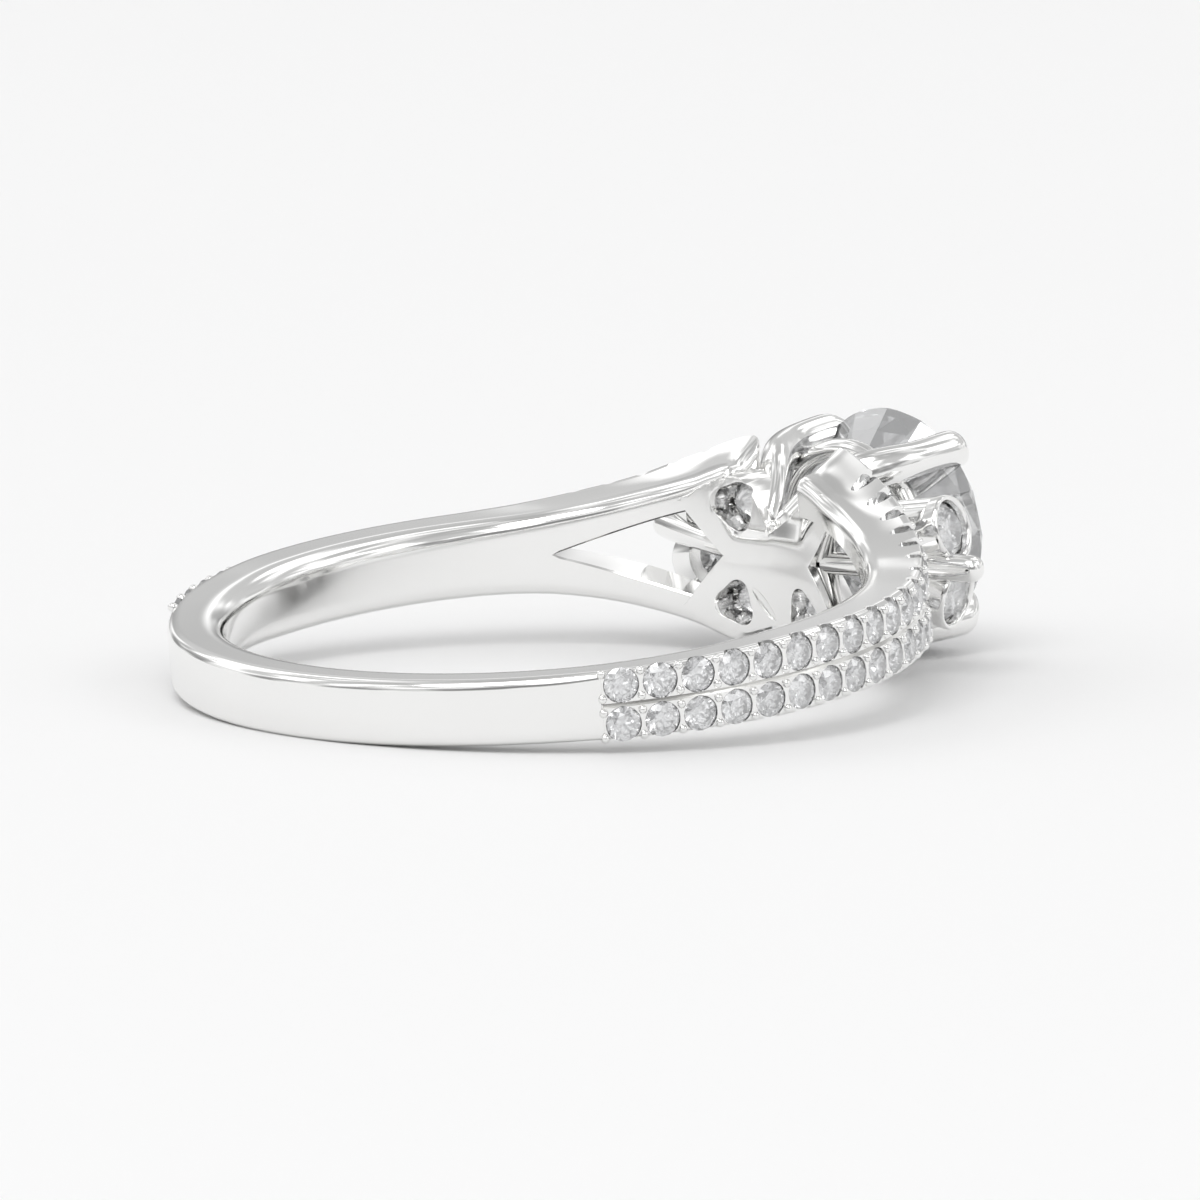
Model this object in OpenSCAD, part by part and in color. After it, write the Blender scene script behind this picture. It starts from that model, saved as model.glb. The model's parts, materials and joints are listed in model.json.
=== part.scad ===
// Diamond engagement ring: pave split shank, X shaped gallery, four prong head, side stones.
// The ring frame has +x toward the centre stone, z along the finger and y across the head.
// Angles along the shank are counted from the head. Sizes in mm.

/* [Shank] */
// Radius of the finger hole, ring size 7
bore_r = 8.65; // [7.4:0.05:10.8]
// Thickness of the shank, from the finger hole out
shank_t = 1.6; // [1.2:0.05:2.4]
// Half of the band's width at the bottom of the shank
half_w_back = 0.9; // [0.8:0.05:1.6]
// Half of the band's width at the sides of the shank
half_w_side = 1.05; // [0.9:0.05:1.8]
// How far the outside of the band is moved toward the head
outer_shift = 0.08; // [0:0.02:0.3]
// Depth of the softened edge inside the band
comfort = 0.45; // [0.2:0.05:0.6]

/* [Shoulders] */
// Angle from the head at which the shank splits in two
split_deg = 45; // [38:1:56]
// Angle from the head at which the branches end
branch_end_deg = 9.5; // [9:0.5:14]
// Half of the distance over the two branches where they end, at their outer edges
branch_reach = 3.05; // [2.6:0.05:3.4]

/* [Gallery] */
// Thickness of the crossed plate under the head
plate_t = 1.05; // [0.8:0.05:1.4]
// Distance of each small round opening from the middle of the head, across
azure_y = 1.3; // [1.2:0.05:1.45]
// Distance of each small round opening from the mid plane of the band
azure_z = 1.32; // [1.2:0.02:1.44]
// Radius of the small round openings
azure_r = 0.54; // [0.4:0.02:0.56]
// How far the small stones in them sit outside the finger hole
azure_depth = 0.5; // [0.45:0.05:0.7]

/* [Head] */
// Radius of the centre stone
stone_r = 3.25; // [2.8:0.05:3.6]
// Distance of the centre stone's girdle from the finger axis
girdle_x = 13.7; // [13.2:0.05:14.4]
// Radius of the four corner prongs
prong_r = 0.5; // [0.4:0.02:0.6]
// Distance of the round rail under the centre stone from the finger axis
rail_x = 12; // [11.6:0.05:12.4]

/* [Side stones] */
// Radius of the four side stones
side_r = 0.75; // [0.6:0.05:0.85]
// Distance of the side stones from the finger axis, toward the head
side_x = 10.9; // [10.6:0.05:11.2]
// Distance of the side stones from the middle of the head
side_y = 4.8; // [4.5:0.05:5.1]
// Distance of the side stones from the mid plane of the band
side_z = 0.93; // [0.88:0.01:1]

/* [Pave] */
// Radius of the small stones along the shank
pave_r = 0.44; // [0.36:0.01:0.46]
// Angle from the head at which the small stones begin
pave_from = 123.4; // [90:0.2:130]
// Angle between one small stone and the next
pave_step = 6; // [5.8:0.1:8]
// Half of the distance between the two rows
row_half = 0.53; // [0.5:0.01:0.6]

/* [Hidden] */
gap = 0.03;
outer_r = bore_r + shank_t;
widen = branch_reach - 3.05;
// Height of the outer edge over the mid plane, by the angle from the head
rim_z = [[0, 3.1 + widen], [branch_end_deg, 3.05 + widen], [14, 2.84 + widen], [19, 2.5 + widen],
         [25, 2.13 + widen*0.8], [29, 1.88 + widen*0.6], [36, 1.57 + widen*0.3], [46, 1.26], [52, 1.15],
         [60, half_w_side + 0.04], [95, half_w_side], [110, (half_w_side + half_w_back)/2],
         [130, half_w_back + 0.02], [150, half_w_back], [180, half_w_back]];
// Height of the inner edge, at the finger hole
inn_z = [[0, 2.45 + widen], [branch_end_deg, 2.5 + widen], [13, 2.36 + widen], [17, 2.12 + widen],
         [25, 1.76 + widen*0.8], [36, 1.38 + widen*0.3], [46, 1.15], [52, 1.1],
         [60, half_w_side + 0.02], [95, half_w_side - 0.01], [110, (half_w_side + half_w_back)/2 - 0.01],
         [130, half_w_back + 0.01], [150, half_w_back], [180, half_w_back]];
// Height of the opening's edge between the branches, at the finger hole and outside
slot_in = [[branch_end_deg, 1.36], [14, 1.3], [18, 1.17], [split_deg - 1, 0], [60, -0.7]];
slot_out = [[branch_end_deg, 1.8], [14, 1.66], [19, 1.36], [25, 0.98], [29, 0.75], [36, 0.42],
            [split_deg + 1, -0.05], [60, -0.7]];
// Height of a row of small stones
row_z = [[10, 2.45 + widen], [14, 2.24 + widen], [19, 1.93 + widen], [25, 1.56 + widen*0.8],
         [29, 1.32 + widen*0.6], [36, 1.0 + widen*0.3], [41, 0.8], [46, 0.67], [52, 0.58],
         [60, row_half], [180, row_half]];
pave_angles = [for (i = [0:13]) pave_from - pave_step*i, for (i = [1:5]) pave_from - pave_step*13 - 5.45*i];
// Tilt at which the ring rests on the edge of its shank and the ends of its lower branches
foot_back = [outer_r - outer_shift - 0.06, half_w_back - 0.05];
foot_head = [(outer_r + outer_shift)*cos(branch_end_deg) - 0.04, branch_reach - 0.03];
rest_tilt = atan((foot_head[1] - foot_back[1])/(foot_head[0] + foot_back[0]));
rest_lift = foot_back[0]*sin(rest_tilt) + foot_back[1]*cos(rest_tilt);
// Reach of the back of the shank and of the centre stone's table as the ring lies, and the move to their middle
reach_back = (outer_r - outer_shift)*cos(rest_tilt) + (half_w_back - 0.16)*sin(rest_tilt);
reach_head = (girdle_x + 0.34*stone_r)*cos(rest_tilt) + 0.57*stone_r*cos(15)*sin(rest_tilt);
rest_shift = (reach_back - reach_head)/2;

function polar(r, t, z) = [r*cos(t), r*sin(t), z];
// Outside radius at an angle: a circle moved toward the head
function out_r(t) = outer_shift*cos(t) + sqrt(outer_r*outer_r - pow(outer_shift*sin(t), 2));
function unit(v) = v/norm(v);

// Cross section of the shank as pairs of radius and height
function shank_half(h, ro) = [[bore_r - 0.3, h - 0.85], [bore_r - 0.02, h - comfort], [bore_r + 0.08, h - 0.26],
    [bore_r + 0.24, h - 0.1], [bore_r + 0.45, h], [ro - 0.16, h], [ro - 0.05, h - 0.05], [ro, h - 0.16]];
function shank_section(t) = let (u = shank_half(lookup(t, rim_z), out_r(t)))
    concat(u, [for (i = [len(u) - 1:-1:0]) [u[i][0], -u[i][1]]]);

// Cross section of an upper branch: sloping side outward, straight wall toward the opening
function branch_section(t) = let (ro = out_r(t), zi = lookup(t, inn_z), zo = lookup(t, rim_z),
    si = lookup(t, slot_in), so = lookup(t, slot_out))
    [[bore_r - 0.3, si + 0.02], [bore_r - 0.3, zi - 0.62], [bore_r - 0.02, zi - 0.34],
     [bore_r + 0.1, zi - 0.16], [bore_r + 0.3, zi - 0.02], [bore_r + 0.62, zi*0.7 + zo*0.3],
     [ro - 0.16, zo], [ro - 0.04, zo - 0.05], [ro, zo - 0.16], [ro, so + 0.08], [ro - 0.08, so],
     [bore_r + 0.5, si*0.7 + so*0.3]];

// Solid through a list of sections, each a list of points, with closed ends
module skin(rows) {
    n = len(rows);
    m = len(rows[0]);
    pts = [for (r = rows) each r];
    sides = [for (i = [0:n - 2]) for (j = [0:m - 1]) let (k = (j + 1) % m)
        each [[i*m + j, (i + 1)*m + k, i*m + k], [i*m + j, (i + 1)*m + j, (i + 1)*m + k]]];
    first = [[for (j = [0:m - 1]) j]];
    last = [[for (j = [m - 1:-1:0]) (n - 1)*m + j]];
    polyhedron(points = pts, faces = concat(sides, first, last), convexity = 8);
}

// Round bar between two points
module rod(a, b, r) {
    v = b - a;
    translate(a) rotate([0, acos(v[2]/norm(v)), atan2(v[1], v[0])]) cylinder(h = norm(v), r = r, $fn = 20);
}

// Turns +z to a direction and moves to a place
module facing(p, v) {
    translate(p) rotate([0, acos(v[2]/norm(v)), atan2(v[1], v[0])]) children();
}

module four() {
    for (s = [0, 1])
        for (k = [0, 1])
            mirror([0, 0, k]) mirror([0, s, 0]) children();
}

module shank() {
    skin([for (i = [0:48]) let (t = split_deg + 1 + i*(358 - 2*split_deg)/48)
        [for (q = shank_section(t > 180 ? 360 - t : t)) polar(q[0], t, q[1])]]);
}

// The end of a branch is rounded by smaller sections
module branch() {
    last = branch_section(branch_end_deg);
    mid = [for (k = [0, 1]) (max([for (q = last) q[k]]) + min([for (q = last) q[k]]))/2];
    skin(concat(
        [for (e = [[branch_end_deg - 1.6, 0.6], [branch_end_deg - 1.1, 0.84]])
            [for (q = last) let (r = mid[0] + (q[0] - mid[0])*e[1])
                polar(max(r, bore_r - 0.3), e[0], mid[1] + (q[1] - mid[1])*e[1])]],
        [for (t = [branch_end_deg, 12.5, 14, 16, 19, 22, 25, 28.5, 32, 36, 41, 44.6, 49])
            [for (q = branch_section(t)) polar(q[0], t, q[1])]]));
}

// Outline of one arm of the crossed plate
arm = [[1.62, 0], [2.2, 0.62], [2.75, 1.3], [2.9, 2.0], [2.2, 2.42], [1.5, 2.3], [0.85, 1.85], [0.42, 1.35],
       [0, 0.72]];

module gallery() {
    near_up = [for (i = [7:-1:0]) [-arm[i][0], arm[i][1]]];
    near_low = [for (i = [1:8]) [-arm[i][0], -arm[i][1]]];
    far_low = [for (i = [7:-1:1]) [arm[i][0], -arm[i][1]]];
    intersection() {
        cylinder(h = 7, r = bore_r + plate_t, center = true, $fn = 96);
        rotate([90, 0, 90]) translate([0, 0, bore_r - 1.4]) linear_extrude(height = 3)
            polygon(concat(arm, near_up, near_low, far_low));
    }
}

// Stations of a prong: distance from the finger axis, two offsets and a radius
prong_path = [[bore_r + 0.35, 0.36, 0.92, prong_r - 0.1], [bore_r + 0.9, 0.68, 1.36, prong_r + 0.02],
    [bore_r + 1.5, 1.12, 1.8, prong_r + 0.12], [bore_r + 2.1, 1.55, 2.08, prong_r + 0.14],
    [girdle_x - 2.3, 1.95, 2.24, prong_r + 0.08], [girdle_x - 1.5, 2.27, 2.34, prong_r],
    [girdle_x - 0.5, 2.36, 2.38, prong_r], [girdle_x, 2.34, 2.36, prong_r],
    [girdle_x + 0.3, 2.23, 2.25, prong_r - 0.04], [girdle_x + 0.5, 2.12, 2.14, prong_r - 0.12],
    [girdle_x + 0.64, 2.03, 2.05, prong_r - 0.28]];

module prong() {
    skin([for (q = prong_path) [for (i = [0:13]) let (c = cos(i*360/14), w = sin(i*360/14))
        [q[0], q[1] + q[3]*c, q[2] + q[3]*w]]]);
}

module rail() {
    translate([rail_x, 0, 0]) rotate([0, 90, 0])
        rotate_extrude($fn = 48) translate([2.46, 0]) circle(r = 0.28, $fn = 12);
}

side_dir = unit([0.27, 0.93, 0.24]);
side_at = [side_x, side_y, side_z];

module side_setting() {
    facing(side_at, side_dir) translate([0, 0, -0.95]) cylinder(h = 1.1, r = side_r + 0.2, $fn = 24);
    rod([bore_r + 0.85, 4.05, 1.62], [side_x - 0.2, 4.35, 1.5], 0.3);
}

// Bar along the mid plane from the plate to a rounded end between two side stones
strut_path = [[bore_r + 0.55, 1.6, 0.3], [bore_r + 1.0, 3.2, 0.32], [10.2, 4.8, 0.35], [10.55, 5.6, 0.36],
    [10.7, 5.95, 0.32], [10.8, 6.15, 0.2]];

module strut() {
    skin([for (q = strut_path) [for (i = [0:11]) let (c = q[2]*cos(i*30), w = q[2]*sin(i*30))
        [q[0] + c*0.95, q[1] - c*0.32, -w]]]);
}

// Round cut stone, table up, girdle in the plane z = 0
module cut_stone(r, n) {
    rotate([0, 0, 180/n]) {
        translate([0, 0, r*0.03]) cylinder(h = r*0.31, r1 = r, r2 = r*0.57, $fn = n);
        translate([0, 0, -r*0.03]) cylinder(h = r*0.06, r = r, $fn = n);
        translate([0, 0, -r*0.86]) cylinder(h = r*0.83, r1 = r*0.03, r2 = r, $fn = n);
    }
}

// Small stone without a girdle band, girdle in the plane z = 0
module small_stone(r) {
    rotate([0, 0, 22.5]) {
        cylinder(h = r*0.3, r1 = r, r2 = r*0.58, $fn = 8);
        translate([0, 0, -r*0.84]) cylinder(h = r*0.84, r1 = 0, r2 = r, $fn = 8);
    }
}

// Room for a round stone with a little air round it
module stone_room(r) {
    wide = r + gap*1.4;
    rotate([0, 0, 2]) {
        translate([0, 0, r*0.03 - 0.001]) cylinder(h = r*0.31 + gap*2, r1 = wide, r2 = wide - r*0.43, $fn = 36);
        translate([0, 0, -r*0.03]) cylinder(h = r*0.06, r = wide, $fn = 36);
        translate([0, 0, -r*0.86 - gap*2])
            cylinder(h = r*0.83 + gap*2 + 0.001, r1 = r*0.03, r2 = wide, $fn = 36);
    }
}

module pave_places(side) {
    for (t = pave_angles)
        for (k = [1, -1])
            facing(polar(out_r(t) - 0.07, side*t, k*lookup(t, row_z)), [cos(t), side*sin(t), 0]) children();
}

module side_places(side, k) {
    facing([side_at[0], side*side_at[1], k*side_at[2]], [side_dir[0], side*side_dir[1], k*side_dir[2]])
        translate([0, 0, -0.1]) children();
}

// Side and height of each small round opening: far is 1 and near is -1, up is 1 and low is -1
azures = [[1, 1], [1, -1], [-1, -1]];

module gallery_places(side, k) {
    facing([bore_r + azure_depth, side*azure_y, k*azure_z], [1, 0, 0]) children();
}

// All the metal but the finger hole, taken as one mesh
module casting() {
    difference() {
        union() {
            shank();
            four() branch();
            gallery();
            four() prong();
            rail();
            four() side_setting();
            strut();
            mirror([0, 1, 0]) strut();
        }
        for (side = [1, -1])
            for (k = [1, -1]) {
                side_places(side, k) {
                    translate([0, 0, -side_r*0.2]) cylinder(h = 2, r = side_r + gap, $fn = 20);
                    translate([0, 0, -2.2]) cylinder(h = 2.2, r = side_r - 0.12, $fn = 20);
                }
            }
        for (p = azures)
            gallery_places(p[0], p[1]) translate([0, 0, -1.5])
                cylinder(h = 1.6 + plate_t - azure_depth, r = azure_r, $fn = 16);
        facing([girdle_x, 0, 0], [1, 0, 0]) stone_room(stone_r);
        for (side = [1, -1])
            pave_places(side) translate([0, 0, -0.46]) rotate([0, 0, 22.5])
                cylinder(h = 0.9, r = pave_r + gap, $fn = 8);
    }
}

module metal() {
    difference() {
        resize([0, 0, 0]) casting();
        cylinder(h = 12, r = bore_r, center = true, $fn = 128);
    }
}

module rest() {
    translate([rest_shift, 0, rest_lift]) rotate([0, -rest_tilt, 0]) children();
}

module ring_mount() {
    color([0.86, 0.86, 0.87]) rest() metal();
}

module centre_diamond() {
    color([0.93, 0.95, 0.97]) rest() facing([girdle_x, 0, 0], [1, 0, 0]) cut_stone(stone_r, 12);
}

module side_stone(side, k) {
    color([0.9, 0.93, 0.96]) rest() side_places(side, k) cut_stone(side_r - 0.02, 8);
}

module gallery_stone(side, k) {
    color([0.88, 0.91, 0.95]) rest() gallery_places(side, k) small_stone(azure_r - gap);
}

module pave(side) {
    color([0.9, 0.92, 0.96]) rest() pave_places(side) small_stone(pave_r - 0.01);
}

ring_mount();
centre_diamond();
side_stone(-1, 1);  // side_stone_near_up
side_stone(-1, -1);  // side_stone_near_low
side_stone(1, 1);  // side_stone_far_up
side_stone(1, -1);  // side_stone_far_low
gallery_stone(-1, -1);  // gallery_stone_near_low
gallery_stone(1, 1);  // gallery_stone_far_up
gallery_stone(1, -1);  // gallery_stone_far_low
pave(-1);  // near_pave
pave(1);  // far_pave
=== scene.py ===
import json
import math

import bmesh
import bpy
from bpy.props import FloatProperty, FloatVectorProperty, IntProperty, PointerProperty
from mathutils import Matrix, Vector


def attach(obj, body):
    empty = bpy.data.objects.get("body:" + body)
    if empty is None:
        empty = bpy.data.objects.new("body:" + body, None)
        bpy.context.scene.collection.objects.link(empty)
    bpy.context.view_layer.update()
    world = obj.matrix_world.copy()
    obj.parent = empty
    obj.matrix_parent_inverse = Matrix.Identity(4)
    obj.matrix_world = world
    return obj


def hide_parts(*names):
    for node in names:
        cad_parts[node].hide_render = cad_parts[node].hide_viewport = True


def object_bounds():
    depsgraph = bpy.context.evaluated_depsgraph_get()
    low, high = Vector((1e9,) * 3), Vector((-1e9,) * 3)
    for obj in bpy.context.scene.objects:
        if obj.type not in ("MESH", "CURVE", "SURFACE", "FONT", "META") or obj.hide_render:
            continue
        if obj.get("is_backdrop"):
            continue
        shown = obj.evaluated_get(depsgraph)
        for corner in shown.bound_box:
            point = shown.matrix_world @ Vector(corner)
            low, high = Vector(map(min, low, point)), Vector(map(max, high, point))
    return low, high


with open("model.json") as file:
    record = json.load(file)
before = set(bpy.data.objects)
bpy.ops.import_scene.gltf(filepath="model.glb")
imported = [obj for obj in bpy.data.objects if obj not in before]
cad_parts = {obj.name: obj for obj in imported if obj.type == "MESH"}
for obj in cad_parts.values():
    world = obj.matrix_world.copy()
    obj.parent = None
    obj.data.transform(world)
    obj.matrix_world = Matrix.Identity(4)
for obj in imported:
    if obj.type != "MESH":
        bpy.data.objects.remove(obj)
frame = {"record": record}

bl_info = {
    "name": "Diamond engagement ring",
    "version": (1, 0, 0),
    "blender": (4, 5, 0),
    "location": "3D View > Sidebar > Ring",
    "description": "Builds the polished mount and the cut stones of a ring round its solid model",
    "category": "Object",
}

# Shapes are worked out in mm in the ring's own frame, +x to the head, z along the finger and y across.
# The ring lies down in the row's frame, where everything is in metres.
MM = 0.001
FINGER_BORE = next(m for m in frame["record"]["mounts"] if m["name"] == "finger_bore")
CAD_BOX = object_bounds()


class RingSizes(bpy.types.PropertyGroup):
    """Driving sizes of the ring"""

    bore_radius: FloatProperty(
        name="Finger hole radius", description="Radius of the finger hole",
        default=FINGER_BORE["dims"]["r_mm"] * MM, unit="LENGTH", precision=5)
    band_thickness: FloatProperty(
        name="Band thickness", description="Thickness of the band from the finger hole out",
        default=1.6 * MM, unit="LENGTH", precision=5)
    outer_shift: FloatProperty(
        name="Outer shift", description="How far the outside of the band is moved toward the head",
        default=0.08 * MM, unit="LENGTH", precision=5)
    branch_end: FloatProperty(
        name="Branch end", description="Angle from the head at which the branches end",
        default=math.radians(9.5), unit="ROTATION")
    stone_radius: FloatProperty(
        name="Centre stone radius", description="Radius of the centre stone at its girdle",
        default=3.25 * MM, unit="LENGTH", precision=5)
    girdle_distance: FloatProperty(
        name="Girdle distance", description="Distance of the centre stone's girdle from the finger axis",
        default=13.7 * MM, unit="LENGTH", precision=5)
    prong_radius: FloatProperty(
        name="Prong radius", description="Radius of the four corner prongs",
        default=0.5 * MM, unit="LENGTH", precision=5)
    rail_distance: FloatProperty(
        name="Rail distance", description="Distance of the round rail from the finger axis",
        default=12.0 * MM, unit="LENGTH", precision=5)
    side_stone_radius: FloatProperty(
        name="Side stone radius", description="Radius of the four side stones",
        default=0.73 * MM, unit="LENGTH", precision=5)
    gallery_stone_radius: FloatProperty(
        name="Gallery stone radius", description="Radius of the small stones in the crossed plate",
        default=0.51 * MM, unit="LENGTH", precision=5)
    pave_stone_radius: FloatProperty(
        name="Pave stone radius", description="Radius of the small stones along the shank",
        default=0.475 * MM, unit="LENGTH", precision=5)
    pave_count: IntProperty(
        name="Pave stones in a row", description="Number of small stones in each row",
        default=19, min=1)


class RingLooks(bpy.types.PropertyGroup):
    """Colours of the ring and of its stage"""

    metal: FloatVectorProperty(
        name="White gold", description="Colour of the polished metal",
        subtype="COLOR", size=3, min=0, max=1, default=(0.89, 0.888, 0.88))
    stone: FloatVectorProperty(
        name="Diamond", description="Colour of the stones",
        subtype="COLOR", size=3, min=0, max=1, default=(0.985, 0.99, 1.0))
    floor: FloatVectorProperty(
        name="Floor", description="Colour of the surface that the ring lies on",
        subtype="COLOR", size=3, min=0, max=1, default=(0.885, 0.885, 0.885))


def sizes():
    return bpy.context.scene.ring_sizes


def looks():
    return bpy.context.scene.ring_looks


def in_mm(length):
    return length / MM


# Heights over the mid plane in mm, by the angle from the head in degrees
RIM_HEIGHT = [(0, 3.1), (9.5, 3.05), (14, 2.84), (19, 2.5), (25, 2.13), (29, 1.88), (36, 1.57), (46, 1.26),
              (52, 1.15), (60, 1.09), (95, 1.05), (110, 0.975), (130, 0.92), (150, 0.9), (180, 0.9)]
INNER_HEIGHT = [(0, 2.45), (9.5, 2.5), (13, 2.36), (17, 2.12), (25, 1.76), (36, 1.38), (46, 1.16), (52, 1.1),
                (60, 1.07), (95, 1.04), (110, 0.965), (130, 0.91), (150, 0.9), (180, 0.9)]
SLOT_INNER = [(9.5, 1.36), (14, 1.3), (18, 1.17), (44, 0)]
SLOT_OUTER = [(9.5, 1.8), (14, 1.66), (19, 1.36), (25, 0.98), (29, 0.75), (36, 0.42), (46, 0)]
ROW_HEIGHT = [(10, 2.45), (14, 2.24), (19, 1.93), (25, 1.56), (29, 1.32), (36, 1.0), (41, 0.8), (46, 0.67),
              (52, 0.58), (60, 0.53), (180, 0.53)]
PAVE_FROM = 123.4
PAVE_STEPS = [6.0] * 13 + [5.45] * 5
CROTCH_INNER = 44
CROTCH_OUTER = 46


def smooth_at(t, table):
    """Value at t on a smooth curve through a table's rows that never overshoots them."""
    if t <= table[0][0]:
        return table[0][1]
    if t >= table[-1][0]:
        return table[-1][1]
    i = max(k for k in range(len(table) - 1) if table[k][0] <= t)
    slopes = [(b[1] - a[1]) / (b[0] - a[0]) for a, b in zip(table, table[1:])]

    def lean(k):
        if k == 0 or k == len(slopes):
            return slopes[min(k, len(slopes) - 1)]
        a, b = slopes[k - 1], slopes[k]
        return 0 if a * b <= 0 else 2 * a * b / (a + b)

    step = table[i + 1][0] - table[i][0]
    f = (t - table[i][0]) / step
    low, high = table[i][1], table[i + 1][1]
    return ((2 * f**3 - 3 * f**2 + 1) * low + (f**3 - 2 * f**2 + f) * lean(i) * step
            + (3 * f**2 - 2 * f**3) * high + (f**3 - f**2) * lean(i + 1) * step)


def smooth_step(x):
    x = min(max(x, 0), 1)
    return x * x * (3 - 2 * x)


def outer_radius(t):
    """Outside radius of the band at an angle from the head in degrees: a circle moved toward the head."""
    out = in_mm(sizes().bore_radius + sizes().band_thickness)
    shift = in_mm(sizes().outer_shift)
    a = math.radians(t)
    return shift * math.cos(a) + math.sqrt(out**2 - (shift * math.sin(a))**2)


def polar(r, t, z):
    return Vector((r * math.cos(math.radians(t)), r * math.sin(math.radians(t)), z))


def ring_place():
    """Matrix from the ring's own frame, in mm, to the row's frame, in metres."""
    up = Vector(FINGER_BORE["axis"]).normalized()
    ahead = Vector((up.z, 0, -up.x))
    turn = Matrix((ahead, up.cross(ahead), up)).transposed().to_4x4()
    return Matrix.Translation(Vector(FINGER_BORE["pos_m"])) @ turn @ Matrix.Scale(MM, 4)


def facing(place, towards, tangent=(0, 0, 1)):
    """Matrix that moves the origin to a place and turns +z to a direction."""
    z = Vector(towards).normalized()
    x = Vector(tangent).cross(z).normalized()
    turn = Matrix((x, z.cross(x), z)).transposed().to_4x4()
    return Matrix.Translation(Vector(place)) @ turn


def radial_frame(r, t, z):
    """Matrix at a place on the band: x along the band, y along the finger and z outward."""
    a = math.radians(t)
    out = Vector((math.cos(a), math.sin(a), 0))
    return facing(polar(r, t, z), out)


# Making meshes


def grid_surface(bm, across, along, place):
    """Adds a sheet of squares, and puts its corner (i, j) at place(i, j)."""
    corners = bmesh.ops.create_grid(bm, x_segments=across, y_segments=along, size=0.5)["verts"]
    for v in corners:
        v.co = place(round((v.co.x + 0.5) * across), round((v.co.y + 0.5) * along))
    return corners


def closed_edges(verts):
    """The edges between some corners."""
    chosen = set(verts)
    return [e for e in {e for v in verts for e in v.link_edges} if e.verts[0] in chosen and e.verts[1] in chosen]


def sweep(bm, stations, sides):
    """Adds a closed bar through stations, each a matrix for a unit circle."""
    rings = []
    for place in stations:
        ring = bmesh.ops.create_circle(bm, cap_ends=False, segments=sides, radius=1)["verts"]
        bmesh.ops.transform(bm, matrix=place, verts=ring)
        rings.append(closed_edges(ring))
    for a, b in zip(rings, rings[1:]):
        bmesh.ops.bridge_loops(bm, edges=a + b)
    for ring in (rings[0], rings[-1]):
        bmesh.ops.holes_fill(bm, edges=ring, sides=sides)


def smooth_path(points, steps):
    """Points along a smooth curve through some rows of numbers."""
    rows = [points[0], *points, points[-1]]
    out = []
    for i in range(1, len(rows) - 2):
        a, b, c, d = rows[i - 1:i + 3]
        for k in range(steps):
            f = k / steps
            out.append([0.5 * (2 * q + (r - p) * f + (2 * p - 5 * q + 4 * r - s) * f**2
                               + (3 * q - p - 3 * r + s) * f**3) for p, q, r, s in zip(a, b, c, d)])
    out.append(list(points[-1]))
    return out


def mark_sharp(bm, angle=32):
    """Shades every face smooth, and keeps the edges that turn more than an angle sharp."""
    for f in bm.faces:
        f.smooth = True
    for e in bm.edges:
        e.smooth = len(e.link_faces) == 2 and e.calc_face_angle(0) < math.radians(angle)


def working_object(bm, name):
    mesh = bpy.data.meshes.new(name)
    bm.to_mesh(mesh)
    bm.free()
    thing = bpy.data.objects.new(name, mesh)
    bpy.context.scene.collection.objects.link(thing)
    return thing


def carve(body, tools):
    """Cuts one working object with others, one after the other, and returns its mesh as a bmesh."""
    for tool in tools:
        cut = body.modifiers.new("cut", "BOOLEAN")
        cut.operation = "DIFFERENCE"
        cut.solver = "MANIFOLD"
        cut.object = tool
    bpy.context.view_layer.update()
    done = body.evaluated_get(bpy.context.evaluated_depsgraph_get())
    bm = bmesh.new()
    bm.from_mesh(done.to_mesh())
    done.to_mesh_clear()
    for thing in [body, *tools]:
        mesh = thing.data
        bpy.data.objects.remove(thing)
        bpy.data.meshes.remove(mesh)
    if not bm.faces:
        raise RuntimeError("a cut left nothing")
    return bm


def finish_piece(bm, name, material, replaces=(), angle=32, facets=False):
    """Moves a mesh from the ring's frame to the row's, and makes it a piece that rides on the ring."""
    bmesh.ops.recalc_face_normals(bm, faces=bm.faces)
    if facets:
        for f in bm.faces:
            f.smooth = False
    else:
        mark_sharp(bm, angle)
    bm.transform(ring_place())
    mesh = bpy.data.meshes.new(name)
    bm.to_mesh(mesh)
    bm.free()
    mesh.materials.append(material)
    piece = bpy.data.objects.new(name, mesh)
    bpy.context.scene.collection.objects.link(piece)
    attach(piece, "root")
    if replaces:
        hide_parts(*replaces)
    return piece


# Materials


def node(tree, kind, **values):
    made = tree.nodes.new(kind)
    for key, value in values.items():
        if hasattr(made, key):
            setattr(made, key, value)
        else:
            made.inputs[key.replace("_", " ").title()].default_value = value
    return made


def new_material(name):
    found = bpy.data.materials.get(name)
    if found:
        return found, None, None
    material = bpy.data.materials.new(name)
    material.use_nodes = True
    tree = material.node_tree
    tree.nodes.clear()
    shader = node(tree, "ShaderNodeBsdfPrincipled")
    out = node(tree, "ShaderNodeOutputMaterial")
    tree.links.new(shader.outputs["BSDF"], out.inputs["Surface"])
    return material, tree, shader


def noise(tree, scale, detail=2.0):
    """A noise texture on the piece's own coordinates."""
    where = node(tree, "ShaderNodeTexCoord")
    grain = node(tree, "ShaderNodeTexNoise", Scale=scale, Detail=detail, Roughness=0.5)
    tree.links.new(where.outputs["Object"], grain.inputs["Vector"])
    return grain


def ranged(tree, source, low, high):
    spread = node(tree, "ShaderNodeMapRange")
    spread.inputs["To Min"].default_value = low
    spread.inputs["To Max"].default_value = high
    tree.links.new(source, spread.inputs["Value"])
    return spread.outputs["Result"]


METAL_ROUGHNESS = (0.08, 0.13)


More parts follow.
